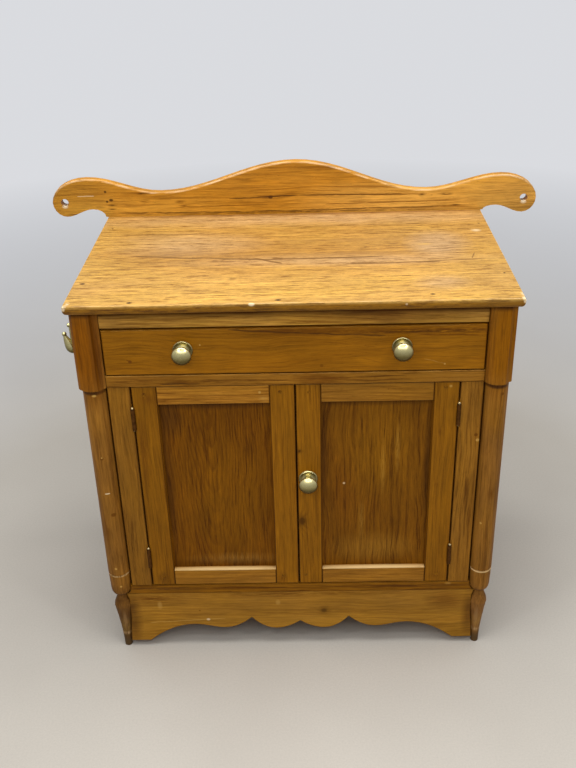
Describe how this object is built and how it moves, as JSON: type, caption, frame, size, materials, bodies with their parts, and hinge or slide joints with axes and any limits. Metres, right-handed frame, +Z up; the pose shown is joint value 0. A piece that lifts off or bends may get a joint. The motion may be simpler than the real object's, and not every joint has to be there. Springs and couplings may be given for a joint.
{
  "type": "washstand",
  "caption": "Pine washstand on turned legs: moulded top with a shaped splashback, a wide drawer over a cupboard with panelled doors, and a scalloped apron.",
  "frame": {"origin": "on the floor, under the middle of the whole object's box", "axes": "+X to the right as seen from the front, +Y to the back, +Z up"},
  "size_m": [0.983, 0.4864, 0.8725],
  "materials": {
    "top_pine": "worn waxed pine, golden",
    "frame_pine": "waxed pine, amber",
    "panel_pine": "waxed pine, darker brown",
    "inner_pine": "bare dry pine",
    "brass": "polished, lightly tarnished",
    "dark_brass": "dark tarnished"
  },
  "bodies": {
    "root": {"front_left_post": "frame_pine", "front_right_post": "frame_pine", "rear_left_post": "frame_pine", "rear_right_post": "frame_pine", "top_board": "top_pine", "splashback": "frame_pine", "drawer_top_rail": "frame_pine", "drawer_divider_rail": "frame_pine", "bottom_front_rail": "frame_pine", "front_apron": "frame_pine", "left_door_jamb": "frame_pine", "right_door_jamb": "frame_pine", "left_side_top_rail": "frame_pine", "left_side_bottom_rail": "frame_pine", "left_side_panel": "panel_pine", "right_side_top_rail": "frame_pine", "right_side_bottom_rail": "frame_pine", "right_side_panel": "panel_pine", "rear_bottom_rail": "inner_pine", "lower_back_board": "inner_pine", "upper_back_board": "inner_pine", "cupboard_floor": "inner_pine", "left_drawer_runner": "inner_pine", "right_drawer_runner": "inner_pine", "left_upper_hinge_jamb_leaf": "dark_brass", "left_upper_hinge_pin": "dark_brass", "left_lower_hinge_jamb_leaf": "dark_brass", "left_lower_hinge_pin": "dark_brass", "right_upper_hinge_jamb_leaf": "dark_brass", "right_upper_hinge_pin": "dark_brass", "right_lower_hinge_jamb_leaf": "dark_brass", "right_lower_hinge_pin": "dark_brass", "towel_hook": "brass"},
    "drawer": {"drawer_front": "frame_pine", "drawer_left_side": "inner_pine", "drawer_right_side": "inner_pine", "drawer_bottom": "inner_pine", "drawer_back": "inner_pine", "drawer_left_knob": "brass", "drawer_right_knob": "brass"},
    "left_door": {"left_door_meeting_stile": "frame_pine", "left_door_hinge_stile": "frame_pine", "left_door_top_rail": "frame_pine", "left_door_bottom_rail": "frame_pine", "left_door_panel": "panel_pine", "left_upper_hinge_door_leaf": "dark_brass", "left_lower_hinge_door_leaf": "dark_brass", "left_door_bolt_plate": "dark_brass"},
    "left_door_bolt": {"left_door_bolt": "dark_brass"},
    "right_door": {"right_door_meeting_stile": "frame_pine", "right_door_hinge_stile": "frame_pine", "right_door_top_rail": "frame_pine", "right_door_bottom_rail": "frame_pine", "right_door_panel": "panel_pine", "right_upper_hinge_door_leaf": "dark_brass", "right_lower_hinge_door_leaf": "dark_brass", "right_door_knob_rose": "brass"},
    "latch": {"right_door_knob": "brass", "right_door_latch_bar": "dark_brass"}
  },
  "joints": [
    {"name": "drawer_slide", "type": "slide", "parent": "root", "child": "drawer", "axis": [0, -1, 0], "range_m": [0, 0.3]},
    {"name": "left_door_swing", "type": "hinge", "parent": "root", "child": "left_door", "pos_m": [-0.2879, -0.20875, 0.378], "axis": [0, 0, -1], "range_deg": [0, 150]},
    {"name": "right_door_swing", "type": "hinge", "parent": "root", "child": "right_door", "pos_m": [0.2879, -0.20875, 0.378], "axis": [0, 0, 1], "range_deg": [0, 150]},
    {"name": "latch_turn", "type": "hinge", "parent": "right_door", "child": "latch", "pos_m": [0.0204, -0.20675, 0.4025], "axis": [0, 1, 0], "range_deg": [0, 90]},
    {"name": "bolt_slide", "type": "slide", "parent": "left_door", "child": "left_door_bolt", "axis": [0, 0, 1], "range_m": [0, 0.01]}
  ]
}
